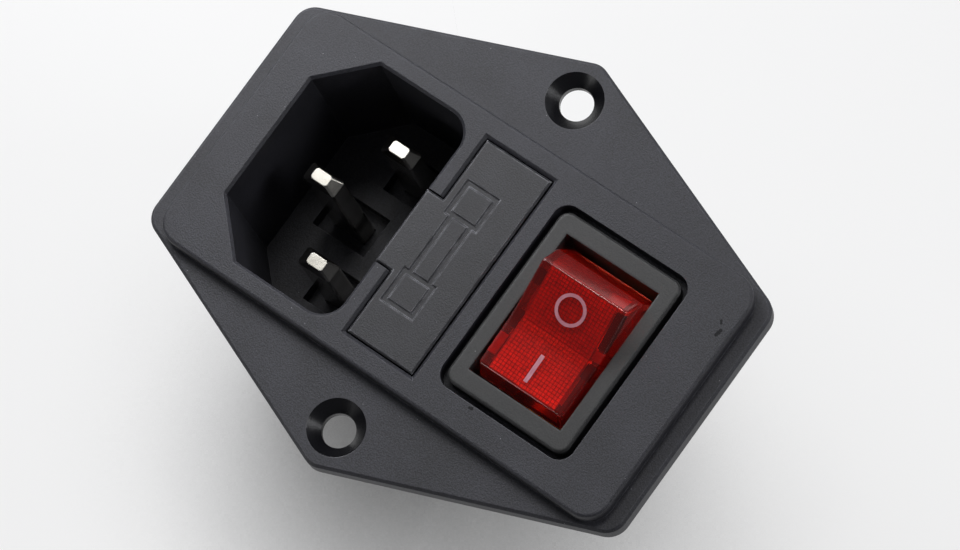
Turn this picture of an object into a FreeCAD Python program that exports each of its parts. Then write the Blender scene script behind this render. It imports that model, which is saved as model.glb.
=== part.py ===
import FreeCAD, Part
import math
import operator
import os
import Sketcher
from collections import namedtuple
from FreeCAD import Placement, Rotation, Vector
from types import SimpleNamespace

# Power entry module for a panel: inlet with three pins, pull-out fuse drawer and lit rocker switch.
# Millimetres. X runs through the two screw holes, Y towards the inlet end, Z out of the front face.
# The origin lies midway between the screw holes, on the rear seat of the flange.

driving = {
    # flange and raised field
    "hole_spacing": 40.0,
    "hole_diameter": 3.5,
    "sink_diameter": 6.0,
    "apex_margin": 4.55,
    "end_inset": 0.8,
    "inlet_margin": 5.99,
    "switch_margin": 7.75,
    "apex_round": 2.1,
    "end_round": 2.3,
    "wing_thick": 2.0,
    "field_rise": 1.6,
    "field_rim": 2.05,
    "field_margin": 1.8,
    "field_round": 2.7,
    "wing_bevel": 0.3,
    "edge_round": 0.35,
    # rear body
    "body_wall": 1.25,
    "inlet_base": 4.0,
    "bay_base": 3.7,
    "body_round": 1.0,
    "skirt_depth": 9.0,
    # inlet cavity
    "cavity_half": 12.15,
    "inlet_gap": 1.98,
    "cavity_height": 16.68,
    "cavity_chamfer": 5.03,
    "cavity_round": 2.7,
    "cavity_depth": 18.5,
    "cavity_bevel": 0.3,
    "well_depth": 2.0,
    "well_margin": 1.35,
    "core_depth": 1.6,
    "core_wall": 1.6,
    # contact pins
    "pin_spacing": 14.0,
    "pin_rise": 6.91,
    "earth_offset": 4.0,
    "pin_thick": 2.0,
    "pin_width": 4.0,
    "pin_bevel": 0.22,
    "tip_thick": 1.25,
    "tip_width": 1.95,
    "tip_taper": 1.0,
    "power_tip_depth": 6.0,
    "earth_tip_depth": 3.5,
    # flat tabs at the rear
    "tab_width": 4.8,
    "tab_thick": 0.8,
    "tab_length": 9.5,
    "tab_hole": 1.6,
    "tab_hole_inset": 2.6,
    "tab_bevel": 0.9,
    # fuse drawer and its bay
    "cheek_thick": 1.15,
    "drawer_low": 3.5,
    "drawer_high": 4.45,
    "tongue_half": 4.35,
    "plate_thick": 2.2,
    "plate_bevel": 0.2,
    "slide_gap": 0.15,
    "bay_bevel": 0.35,
    "tray_inset": 0.5,
    "tray_low": 3.2,
    "tray_high": 3.7,
    "tray_wall": 0.9,
    "end_gap": 0.5,
    "saddle_thick": 1.1,
    "saddle_wrap": 0.8,
    "saddle_gap": 0.05,
    "pry_half": 2.5,
    "pry_depth": 1.2,
    "pry_height": 1.6,
    # fuse pictogram on the drawer
    "mark_line": 0.45,
    "mark_depth": 0.2,
    "mark_bevel": 0.12,
    "mark_inner": 3.35,
    "mark_outer": 7.3,
    "mark_low": 0.3,
    "mark_high": 3.55,
    "mark_tube_inset": 0.55,
    # fuse
    "fuse_length": 20.0,
    "fuse_axis": 0.3,
    "fuse_seat": 3.4,
    "fuse_play": 0.05,
    "cap_radius": 2.6,
    "cap_length": 5.0,
    "cap_wall": 0.15,
    "glass_wall": 0.6,
    "fuse_wire_radius": 0.15,
    # fuse contacts
    "clip_width": 4.0,
    "clip_thick": 0.5,
    "clip_gap": 0.12,
    "clip_flare": 0.3,
    "clip_rise": 1.6,
    "clip_tip": 1.0,
    "clip_play": 0.2,
    "link_width": 4.0,
    "link_thick": 0.8,
    "rivet_proud": 0.5,
    "stub_thick": 1.4,
    "stub_width": 3.0,
    # rocker switch frame
    "switch_gap": 2.05,
    "bezel_end_lip": 0.85,
    "bezel_side_lip": 0.95,
    "bezel_thick": 2.0,
    "bezel_round": 1.2,
    "bezel_edge": 0.25,
    "pocket_gap": 0.65,
    "pocket_round": 1.7,
    "window_length": 16.4,
    "window_width": 11.1,
    "barrel_end_wall": 1.2,
    "barrel_side_wall": 0.75,
    "cutout_gap": 0.1,
    "frame_floor": 1.5,
    "barb_half": 3.0,
    "barb_proud": 0.7,
    "barb_length": 3.2,
    "barb_gap": 0.02,
    # rocker
    "pivot_depth": 3.5,
    "rest_tilt": 14.0,
    "trunnion_radius": 1.2,
    "trunnion_gap": 0.05,
    "trunnion_reach": 0.5,
    "rocker_gap": 0.6,
    "rocker_lean": 0.3,
    "rocker_draft": 1.35,
    "rocker_side_gap": 0.25,
    "rocker_side_draft": 0.25,
    "rocker_shoulder": 3.05,
    "shoulder_round": 2.0,
    "rocker_top_rise": 5.65,
    "rocker_valley": 4.6,
    "valley_round": 8.0,
    "rocker_foot_drop": 1.4,
    "rocker_wall": 1.0,
    "rocker_side_wall": 0.8,
    "rocker_corner": 0.4,
    "rocker_edge": 0.35,
    "post_radius": 1.5,
    "post_drop": 4.0,
    "bore_radius": 0.95,
    "bore_depth": 5.0,
    # plunger and spring in the rocker
    "plunger_radius": 0.9,
    "plunger_gap": 0.2,
    "plunger_seat": 1.5,
    "spring_wire": 0.28,
    "spring_gap": 0.08,
    "spring_turns": 3.5,
    # contact lever and its contacts
    "lever_drop": 7.7,
    "lever_room": 2.7,
    "lever_clear": 0.9,
    "lever_width": 2.8,
    "lever_thick": 0.75,
    "lever_tilt": 7.0,
    "notch_half": 0.55,
    "notch_depth": 0.35,
    "knife_gap": 0.02,
    "knife_height": 0.6,
    "contact_inset": 1.0,
    "contact_radius": 1.1,
    "contact_height": 0.4,
    "contact_gap": 0.03,
    "ledge_margin": 1.3,
    "ledge_half": 1.6,
    # switch terminals, lamp and resistor
    "terminal_spacing": 6.5,
    "terminal_length": 7.5,
    "lamp_radius": 1.7,
    "lamp_clear": 2.0,
    "lamp_side": 3.4,
    "lamp_rise": 2.4,
    "lead_radius": 0.22,
    "lead_spread": 0.6,
    "lead_turn": 0.6,
    "lead_bend": 0.7,
    "resistor_radius": 1.1,
    "resistor_length": 6.0,
    "resistor_side": 3.8,
    "resistor_shift": 0.2,
    "riser_width": 1.6,
    "riser_proud": 0.35,
}

doc = FreeCAD.newDocument("power_entry_module")
sheet = doc.addObject("Spreadsheet::Sheet", "sizes")
pieces = []
operations = {"+": operator.add, "-": operator.sub, "*": operator.mul, "/": operator.truediv}
Round = namedtuple("Round", "x y radius")
Soft = namedtuple("Soft", "left right low high radius")


class Size:
    def __init__(self, value, text):
        self.value = value
        self.text = text

    def __add__(self, other):
        return join(self, "+", other)

    def __radd__(self, other):
        return join(other, "+", self)

    def __sub__(self, other):
        return join(self, "-", other)

    def __rsub__(self, other):
        return join(other, "-", self)

    def __mul__(self, other):
        return join(self, "*", other)

    def __rmul__(self, other):
        return join(other, "*", self)

    def __truediv__(self, other):
        return join(self, "/", other)

    def __neg__(self):
        return join(0, "-", self)


def as_size(item):
    return item if isinstance(item, Size) else Size(item, str(item))


def join(left, sign, right):
    left = as_size(left)
    right = as_size(right)
    return Size(operations[sign](left.value, right.value), f"({left.text} {sign} {right.text})")


def cosine(angle):
    return Size(math.cos(math.radians(angle.value)), f"cos({angle.text} * 1 deg)")


def sine(angle):
    return Size(math.sin(math.radians(angle.value)), f"sin({angle.text} * 1 deg)")


def bind(item, path, size):
    item.setExpression(path, as_size(size).text)


def fill_sheet():
    for row, (alias, value) in enumerate(driving.items(), 1):
        sheet.set(f"A{row}", alias)
        sheet.set(f"B{row}", str(value))
        sheet.setAlias(f"B{row}", alias)
    doc.recompute()
    return SimpleNamespace(**{alias: Size(value, f"sizes.{alias}") for alias, value in driving.items()})


def new_body(label):
    body = doc.addObject("PartDesign::Body", label)
    body.Label = label
    pieces.append(body)
    return body


def place(body, x, y, z, axis=None, angle=None):
    if axis:
        body.Placement = Placement(Vector(0, 0, 0), Rotation(axis, as_size(angle).value))
        body.setExpression("Placement.Rotation.Angle", f"{as_size(angle).text} * 1 deg")
    for letter, size in zip("xyz", (x, y, z)):
        bind(body, f"Placement.Base.{letter}", size)
    doc.recompute()


def new_sketch(body, role, offset):
    sketch = body.newObject("Sketcher::SketchObject", f"{body.Name}_sketch")
    plane = next(item for item in body.Origin.OriginFeatures if item.Role == f"{role}_Plane")
    sketch.AttachmentSupport = [(plane, "")]
    sketch.MapMode = "FlatFace"
    bind(sketch, "AttachmentOffset.Base.z", offset)
    return sketch


def pin_point(sketch, edge, end, point):
    for kind, axis, size in (("DistanceX", -2, point[0]), ("DistanceY", -1, point[1])):
        size = as_size(size)
        if size.value == 0:
            sketch.addConstraint(Sketcher.Constraint("PointOnObject", edge, end, axis))
        else:
            index = sketch.addConstraint(Sketcher.Constraint(kind, -1, 1, edge, end, size.value))
            bind(sketch, f"Constraints[{index}]", size)


def draw_round(sketch, loop):
    centre = Vector(as_size(loop.x).value, as_size(loop.y).value, 0)
    edge = sketch.addGeometry(Part.Circle(centre, Vector(0, 0, 1), loop.radius.value))
    pin_point(sketch, edge, 3, (loop.x, loop.y))
    index = sketch.addConstraint(Sketcher.Constraint("Radius", edge, loop.radius.value))
    bind(sketch, f"Constraints[{index}]", loop.radius)


def draw_polygon(sketch, points):
    spots = [Vector(as_size(x).value, as_size(y).value, 0) for x, y in points]
    count = len(spots)
    first = sketch.GeometryCount
    for index in range(count):
        sketch.addGeometry(Part.LineSegment(spots[index], spots[(index + 1) % count]))
    for index in range(count):
        following = first + (index + 1) % count
        sketch.addConstraint(Sketcher.Constraint("Coincident", first + index, 2, following, 1))
        pin_point(sketch, first + index, 1, points[index])


def draw_line(sketch, points):
    spots = [Vector(as_size(x).value, as_size(y).value, 0) for x, y in points]
    for index in range(len(spots) - 1):
        sketch.addGeometry(Part.LineSegment(spots[index], spots[index + 1]))
        if index:
            sketch.addConstraint(Sketcher.Constraint("Coincident", index - 1, 2, index, 1))
        pin_point(sketch, index, 1, points[index])
    pin_point(sketch, len(spots) - 2, 2, points[-1])


def draw_soft(sketch, loop):
    left, right, low, high, bend = loop
    stops = [(left + bend, low), (right - bend, low), (right, low + bend), (right, high - bend),
             (right - bend, high), (left + bend, high), (left, high - bend), (left, low + bend)]
    spots = [Vector(x.value, y.value, 0) for x, y in stops]
    sides = []
    for index in range(0, 8, 2):
        side = sketch.addGeometry(Part.LineSegment(spots[index], spots[index + 1]))
        pin_point(sketch, side, 1, stops[index])
        pin_point(sketch, side, 2, stops[index + 1])
        sides.append(side)
    for index, side in enumerate(sides):
        following = (index + 1) % 4
        start = spots[2 * index + 1]
        end = spots[2 * following]
        middle = Vector(start.x, end.y, 0) if index % 2 == 0 else Vector(end.x, start.y, 0)
        circle = Part.Circle(middle, Vector(0, 0, 1), bend.value)
        first = (index - 1) * math.pi / 2
        arc = sketch.addGeometry(Part.ArcOfCircle(circle, first, first + math.pi / 2))
        sketch.addConstraint(Sketcher.Constraint("Coincident", side, 2, arc, 1))
        sketch.addConstraint(Sketcher.Constraint("Coincident", sides[following], 1, arc, 2))
        bound = sketch.addConstraint(Sketcher.Constraint("Radius", arc, bend.value))
        bind(sketch, f"Constraints[{bound}]", bend)


def draw(sketch, loops):
    for loop in loops:
        if isinstance(loop, Round):
            draw_round(sketch, loop)
        elif isinstance(loop, Soft):
            draw_soft(sketch, loop)
        else:
            draw_polygon(sketch, loop)


def rect(left, right, low, high):
    return [(left, low), (right, low), (right, high), (left, high)]


def centred(x, y, width, height):
    return rect(x - width / 2, x + width / 2, y - height / 2, y + height / 2)


def mirrored(points):
    return points + [(-x, y) for x, y in reversed(points)]


def volume_of(body):
    return 0 if body.Tip is None or body.Shape.isNull() else body.Shape.Volume


def settle(body, feature, before, grows):
    doc.recompute()
    if body.Shape.isNull() or (body.Shape.Volume > before) != grows:
        raise ValueError(f"{feature.Name} does not change {body.Label} as meant")
    return feature


def add(body, role, low, high, *loops):
    before = volume_of(body)
    sketch = new_sketch(body, role, -as_size(high) if role == "XZ" else low)
    draw(sketch, loops)
    pad = body.newObject("PartDesign::Pad", f"{body.Name}_pad")
    pad.Profile = sketch
    bind(pad, "Length", high - low)
    return settle(body, pad, before, True)


def cut(body, role, low, high, *loops):
    before = volume_of(body)
    sketch = new_sketch(body, role, -as_size(low) if role == "XZ" else high)
    draw(sketch, loops)
    pocket = body.newObject("PartDesign::Pocket", f"{body.Name}_pocket")
    pocket.Profile = sketch
    bind(pocket, "Length", high - low)
    return settle(body, pocket, before, False)


def turn(body, role, *loops):
    before = volume_of(body)
    sketch = new_sketch(body, role, 0)
    draw(sketch, loops)
    revolution = body.newObject("PartDesign::Revolution", f"{body.Name}_turn")
    revolution.Profile = sketch
    revolution.ReferenceAxis = (sketch, ["H_Axis"])
    revolution.Angle = 360
    return settle(body, revolution, before, True)


def taper(body, low, high, first, second):
    before = volume_of(body)
    ends = []
    for level, loop in ((low, first), (high, second)):
        sketch = new_sketch(body, "XY", level)
        draw(sketch, [loop])
        ends.append(sketch)
    loft = body.newObject("PartDesign::AdditiveLoft", f"{body.Name}_loft")
    loft.Profile = ends[0]
    loft.Sections = [ends[1]]
    loft.Ruled = True
    return settle(body, loft, before, True)


def dress(body, kind, size, wanted):
    base = body.Tip
    names = [f"Edge{index}" for index, edge in enumerate(base.Shape.Edges, 1) if wanted(edge)]
    feature = body.newObject(f"PartDesign::{kind}", f"{body.Name}_{kind.lower()}")
    feature.Base = (base, names)
    bind(feature, "Radius" if kind == "Fillet" else "Size", size)
    doc.recompute()
    if not names or not feature.isValid():
        raise ValueError(f"{feature.Name} does not hold on {body.Label}")
    return feature


def near(left, right):
    return abs(as_size(left).value - as_size(right).value) < 1e-4


def upright(edge, points):
    box = edge.BoundBox
    if box.XLength > 1e-4 or box.YLength > 1e-4:
        return False
    return any(near(box.XMin, x) and near(box.YMin, y) for x, y in points)


def level(edge, height):
    box = edge.BoundBox
    return box.ZLength < 1e-4 and near(box.ZMin, height)


def is_ridge(edge, height):
    return level(edge, height) and edge.BoundBox.XLength < 1e-4


def is_corner(edge):
    return edge.BoundBox.ZLength > 1 and edge.BoundBox.YLength < 0.5


def is_round(edge, radius):
    return edge.Curve.TypeId == "Part::GeomCircle" and near(edge.Curve.Radius, radius)


def at_end(edge, place):
    box = edge.BoundBox
    return near(box.XMin, place) and near(box.XMax, place) and box.YLength > 1


def inside(edge, left, right, low, high, slack=1e-3):
    box = edge.BoundBox
    spans = ((box.XMin, left, 1), (box.XMax, right, -1), (box.YMin, low, 1), (box.YMax, high, -1))
    return all(side * (value - as_size(limit).value) > -slack for value, limit, side in spans)


s = fill_sheet()

# levels, front to rear
face = s.wing_thick + s.field_rise
plate_seat = face - s.plate_thick
pocket_floor = face - s.bezel_thick
cavity_floor = face - s.cavity_depth
well_floor = cavity_floor - s.well_depth
rear = cavity_floor - s.inlet_base
bay_floor = rear + s.bay_base
drawer_back = bay_floor + s.end_gap
fuse_z = drawer_back + s.fuse_seat
tab_end = rear - s.tab_length
pivot_z = face - s.pivot_depth
lever_z = pivot_z - s.lever_drop
lever_under = s.knife_gap - s.notch_depth
lamp_z = lever_z + s.lamp_rise
frame_inner = lever_z - s.lever_room
frame_rear = frame_inner - s.frame_floor
terminal_end = frame_rear - s.terminal_length

# across: the inlet sets the width of the body, the fuse that of the drawer
field_half = s.cavity_half + s.field_rim
body_half = s.cavity_half + s.body_wall
power_x = s.pin_spacing / 2
cheek = s.fuse_length / 2 + s.fuse_play
tray_half = cheek + s.cheek_thick
drawer_half = tray_half + s.tray_inset
clip_centre = (s.fuse_length - s.cap_length) / 2
window_half = s.window_length / 2
barrel_half_x = window_half + s.barrel_end_wall
barrel_half_y = s.window_width / 2 + s.barrel_side_wall
bezel_half_x = barrel_half_x + s.bezel_end_lip
bezel_half_y = barrel_half_y + s.bezel_side_lip
pocket_half_x = bezel_half_x + s.pocket_gap
pocket_half_y = bezel_half_y + s.pocket_gap
lever_half = s.terminal_spacing - s.lever_clear
contact_place = lever_half - s.contact_inset

# along: inlet above the drawer, switch below it, the flange round all three
cavity_low = s.drawer_high + s.inlet_gap
cavity_high = cavity_low + s.cavity_height
pin_row = cavity_low + s.pin_rise
earth_y = pin_row + s.earth_offset
pin_places = ((-power_x, pin_row), (power_x, pin_row), (0, earth_y))
body_high = cavity_high + s.body_wall
bay_wall = -s.tray_low - s.slide_gap - s.body_wall
pocket_high = -s.drawer_low - s.switch_gap
switch_y = pocket_high - pocket_half_y
pocket_low = switch_y - pocket_half_y
skirt_low = pocket_low - s.body_wall
flange_high = cavity_high + s.inlet_margin
flange_low = pocket_low - s.switch_margin


def cavity_outline():
    corner = s.cavity_half - s.cavity_chamfer
    shoulder = cavity_high - s.cavity_chamfer
    return mirrored([(s.cavity_half, cavity_low), (s.cavity_half, shoulder), (corner, cavity_high)])


def bay_outline(gap):
    side = drawer_half + gap
    tongue = s.tongue_half + gap
    low = -s.drawer_low - gap
    high = s.drawer_high + gap
    return mirrored([(side, low), (side, high), (tongue, high), (tongue, cavity_low)])


def make_housing():
    body = new_body("housing")
    end = field_half - s.end_inset
    apex = s.hole_spacing / 2 + s.apex_margin
    ends = [(end, flange_high), (end, flange_low), (-end, flange_low), (-end, flange_high)]
    apexes = [(apex, 0), (-apex, 0)]
    add(body, "XY", 0, s.wing_thick, [ends[0], apexes[0], *ends[1:3], apexes[1], ends[3]])
    dress(body, "Fillet", s.apex_round, lambda edge: upright(edge, apexes))
    dress(body, "Fillet", s.end_round, lambda edge: upright(edge, ends))
    dress(body, "Chamfer", s.wing_bevel, lambda edge: level(edge, s.wing_thick))

    # raised field that carries the inlet, the drawer and the switch
    low = flange_low + s.field_margin
    high = flange_high - s.field_margin
    add(body, "XY", s.wing_thick, face, Soft(-field_half, field_half, low, high, s.field_round))
    dress(body, "Fillet", s.edge_round, lambda edge: level(edge, face))

    # rear block behind the inlet and the drawer, and the open skirt round the switch
    block = rect(-body_half, body_half, bay_wall, body_high)
    skirt = rect(-body_half, body_half, skirt_low, bay_wall)
    add(body, "XY", rear, 0, block)
    add(body, "XY", -s.skirt_depth, 0, skirt)
    inner = body_half - s.body_wall
    cut(body, "XY", -s.skirt_depth, 0, rect(-inner, inner, skirt_low + s.body_wall, bay_wall))
    corners = [*block[2:], *skirt[:2]]
    dress(body, "Fillet", s.body_round, lambda edge: upright(edge, corners))

    # inlet cavity, a well round each pin and a slot for its shank
    cut(body, "XY", cavity_floor, face, cavity_outline())
    lower = [(s.cavity_half, cavity_low), (-s.cavity_half, cavity_low)]
    dress(body, "Fillet", s.cavity_round, lambda edge: upright(edge, lower))
    spread = 2 * s.well_margin
    wells = [centred(x, y, s.pin_thick + spread, s.pin_width + spread) for x, y in pin_places]
    cut(body, "XY", well_floor, cavity_floor, *wells)
    slots = [centred(x, y, s.pin_thick, s.pin_width) for x, y in pin_places]
    core_low = cavity_low + s.core_wall
    core = rect(-body_half + s.core_wall, body_half - s.core_wall, core_low, body_high - s.core_wall)
    cut(body, "XY", rear, rear + s.core_depth, core, *wells)
    cut(body, "XY", rear, well_floor, *slots)

    # bay of the fuse drawer, the pry notch under its tongue and the slots for the contact feet
    cut(body, "XY", plate_seat - s.slide_gap, face, bay_outline(s.slide_gap))
    deep_half = tray_half + s.slide_gap
    deep_low = -s.tray_low - s.slide_gap
    deep_high = s.tray_high + s.slide_gap
    cut(body, "XY", bay_floor, face, rect(-deep_half, deep_half, deep_low, deep_high))
    notch_top = plate_seat - s.slide_gap
    notch = rect(-s.pry_half, s.pry_half, cavity_low - s.pry_depth, cavity_low)
    cut(body, "XY", notch_top - s.pry_height, notch_top, notch)
    feet = [
        centred(-clip_centre, s.fuse_axis, s.link_width, s.tab_thick),
        centred(clip_centre, s.fuse_axis, s.tab_width, s.tab_thick),
    ]
    cut(body, "XY", rear, bay_floor, *feet)

    # pocket for the bezel and the cut-out for the switch barrel
    pocket = Soft(-pocket_half_x, pocket_half_x, pocket_low, pocket_high, s.pocket_round)
    cut(body, "XY", pocket_floor, face, pocket)
    length = 2 * (barrel_half_x + s.cutout_gap)
    width = 2 * (barrel_half_y + s.cutout_gap)
    cut(body, "XY", 0, pocket_floor, centred(0, switch_y, length, width))

    # countersunk screw holes
    hole = s.hole_diameter / 2
    holes = [Round(side * s.hole_spacing / 2, 0, hole) for side in (1, -1)]
    cut(body, "XY", 0, s.wing_thick, *holes)
    sink = (s.sink_diameter - s.hole_diameter) / 2
    dress(body, "Chamfer", sink, lambda edge: level(edge, s.wing_thick) and is_round(edge, hole))

    # broken edges round the inlet and the drawer bay
    dress(body, "Chamfer", s.cavity_bevel, lambda edge: level(edge, face)
          and inside(edge, -s.cavity_half, s.cavity_half, cavity_low, cavity_high))
    rim = drawer_half + s.slide_gap
    low = -s.drawer_low - s.slide_gap
    high = s.drawer_high + s.slide_gap
    spot = (-rim, rim, low, high)
    dress(body, "Chamfer", s.bay_bevel, lambda edge: level(edge, face) and inside(edge, *spot))
    return body


def pin_section(thick, width):
    side = thick / 2
    end = width / 2
    bevel = s.pin_bevel
    return mirrored([(side - bevel, -end), (side, bevel - end), (side, end - bevel), (side - bevel, end)])


def make_pin(label, x, y, tip_depth, stub):
    body = new_body(label)
    top = face - tip_depth
    shank = pin_section(s.pin_thick, s.pin_width)
    add(body, "XY", rear, top - s.tip_taper, shank)
    taper(body, top - s.tip_taper, top, shank, pin_section(s.tip_thick, s.tip_width))
    if stub:
        foot = rear - s.link_thick - s.rivet_proud
        add(body, "XY", foot, rear, centred(0, 0, s.stub_thick, s.stub_width))
    else:
        add(body, "YZ", -s.tab_thick / 2, s.tab_thick / 2, tab_outline(0, tab_end, rear))
        cut_tab_hole(body, "YZ", 0, tab_end)
    place(body, x, y, 0)
    return body


def tab_outline(middle, low, high):
    half = s.tab_width / 2
    bevel = s.tab_bevel
    right = [(middle + half - bevel, low), (middle + half, low + bevel), (middle + half, high)]
    left = [(middle - half, high), (middle - half, low + bevel), (middle - half + bevel, low)]
    return right + left


def cut_tab_hole(body, role, middle, low):
    hole = Round(middle, low + s.tab_hole_inset, s.tab_hole / 2)
    cut(body, role, -s.tab_thick, s.tab_thick, hole)


def clip_outline():
    reach = s.cap_radius + s.clip_gap
    outer = reach + s.clip_thick
    base = bay_floor - fuse_z
    arm = s.clip_rise
    tip = s.clip_rise + s.clip_tip
    flare = s.clip_flare
    right = [(outer, base), (outer, arm), (outer + flare, tip), (reach + flare, tip), (reach, arm)]
    return mirrored(right + [(reach, base + s.clip_thick)])


def make_fuse_contact(label, side):
    # spring clip that opens towards the front, with its foot through the floor of the bay
    body = new_body(label)
    half = s.clip_width / 2
    add(body, "YZ", -half, half, clip_outline())
    base = bay_floor - fuse_z
    back = rear - fuse_z
    if side > 0:
        add(body, "XZ", -s.tab_thick / 2, s.tab_thick / 2, tab_outline(0, tab_end - fuse_z, base))
        cut_tab_hole(body, "XZ", 0, tab_end - fuse_z)
    else:
        foot = rect(-s.link_width / 2, s.link_width / 2, back - s.link_thick, base)
        add(body, "XZ", -s.tab_thick / 2, s.tab_thick / 2, foot)
        reach = pin_row - s.fuse_axis
        shift = clip_centre - power_x
        end = reach + s.pin_width / 2
        strip = rect(shift - s.link_width / 2, shift + s.link_width / 2, -s.tab_thick / 2, end)
        add(body, "XY", back - s.link_thick, back, strip)
        cut(body, "XY", back - s.link_thick, back, centred(shift, reach, s.stub_thick, s.stub_width))
    place(body, side * clip_centre, s.fuse_axis, fuse_z)
    return body


def make_drawer():
    body = new_body("fuse_drawer")
    add(body, "XY", plate_seat, face, bay_outline(0))
    dress(body, "Chamfer", s.plate_bevel, lambda edge: level(edge, face))
    # pictogram of a fuse, sunk into the plate
    line = s.mark_line
    rings = []
    for side in (-1, 1):
        low, high = sorted((side * s.mark_inner, side * s.mark_outer), key=lambda size: size.value)
        rings.append(rect(low, high, -s.mark_low, s.mark_high))
        rings.append(rect(low + line, high - line, line - s.mark_low, s.mark_high - line))
    cut(body, "XY", face - s.mark_depth, face, *rings)
    tube_low = s.mark_tube_inset - s.mark_low
    tube_high = s.mark_high - s.mark_tube_inset
    reach = s.mark_inner + line / 2
    strokes = [rect(-reach, reach, low, low + line) for low in (tube_low, tube_high - line)]
    cut(body, "XY", face - s.mark_depth, face, *strokes)
    dress(body, "Chamfer", s.mark_bevel, lambda edge: level(edge, face)
          and inside(edge, -s.mark_outer, s.mark_outer, -s.mark_low, s.mark_high))
    # tray: one long wall, two end cheeks and two saddles that grip the fuse
    saddle = s.fuse_length / 2 - s.cap_length - s.clip_play
    wall_high = s.tray_wall - s.tray_low
    add(body, "XY", drawer_back, plate_seat, rect(-tray_half, tray_half, -s.tray_low, wall_high))
    cheeks = [rect(x, x + s.cheek_thick, wall_high, s.tray_high) for x in (cheek, -tray_half)]
    add(body, "XY", drawer_back, plate_seat, *cheeks)
    starts = (saddle - s.saddle_thick, -saddle)
    saddles = [rect(x, x + s.saddle_thick, wall_high, s.tray_high) for x in starts]
    add(body, "XY", fuse_z - s.saddle_wrap, plate_seat, *saddles)
    grip = s.cap_radius - s.cap_wall + s.saddle_gap
    cut(body, "YZ", -saddle, saddle, Round(s.fuse_axis, fuse_z, grip))
    # windows in the long wall for the arms of the contacts
    half = s.clip_width / 2 + s.clip_play
    top = fuse_z + s.clip_rise + s.clip_tip + s.clip_play
    windows = [rect(x - half, x + half, drawer_back, top) for x in (-clip_centre, clip_centre)]
    cut(body, "XZ", -s.tray_low, wall_high, *windows)
    return body


def make_fuse():
    inner = s.cap_radius - s.cap_wall
    half = s.fuse_length / 2
    glass_half = half - s.cap_wall
    glass = new_body("fuse_glass")
    turn(glass, "XZ", rect(-glass_half, glass_half, inner - s.glass_wall, inner))
    place(glass, 0, s.fuse_axis, fuse_z)
    for label, side in (("fuse_cap_line", 180), ("fuse_cap_load", 0)):
        cap = new_body(label)
        mouth = half - s.cap_length
        lining = [(mouth, inner), (glass_half, inner), (glass_half, 0)]
        turn(cap, "XZ", [*lining, (half, 0), (half, s.cap_radius), (mouth, s.cap_radius)])
        dress(cap, "Chamfer", s.cap_wall, lambda edge: at_end(edge, half))
        place(cap, 0, s.fuse_axis, fuse_z, Vector(0, 0, 1), side)
    wire = new_body("fuse_wire")
    add(wire, "YZ", -glass_half, glass_half, Round(0, 0, s.fuse_wire_radius))
    place(wire, 0, s.fuse_axis, fuse_z)


def make_frame():
    # bezel and barrel in one moulding, built down from the top of the bezel
    body = new_body("switch_frame")
    bezel = rect(-bezel_half_x, bezel_half_x, -bezel_half_y, bezel_half_y)
    add(body, "XY", -s.bezel_thick, 0, bezel)
    dress(body, "Fillet", s.bezel_round, lambda edge: upright(edge, bezel))
    dress(body, "Chamfer", s.bezel_edge, lambda edge: level(edge, 0))
    back = frame_rear - face
    barrel = rect(-barrel_half_x, barrel_half_x, -barrel_half_y, barrel_half_y)
    add(body, "XY", back, -s.bezel_thick, barrel)
    well = frame_inner - face
    cut(body, "XY", well, 0, centred(0, 0, s.window_length, s.window_width))
    # bearings for the rocker and slots for the terminals
    bearing = s.trunnion_radius + s.trunnion_gap
    cut(body, "XZ", -barrel_half_y, barrel_half_y, Round(0, -s.pivot_depth, bearing))
    places = (-s.terminal_spacing, 0, s.terminal_spacing)
    cut(body, "XY", back, well, *[centred(x, 0, s.tab_thick, s.tab_width) for x in places])
    # snap barbs that hold the frame behind the pocket floor
    top = -face - s.barb_gap
    for sign in (1, -1):
        root = sign * barrel_half_x
        barb = [(root, top), (root + sign * s.barb_proud, top), (root, top - s.barb_length)]
        add(body, "XZ", -s.barb_half, s.barb_half, barb)
    place(body, 0, switch_y, face)
    return body


def place_on_rocker(body):
    place(body, 0, switch_y, pivot_z, Vector(0, -1, 0), s.rest_tilt)


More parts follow.
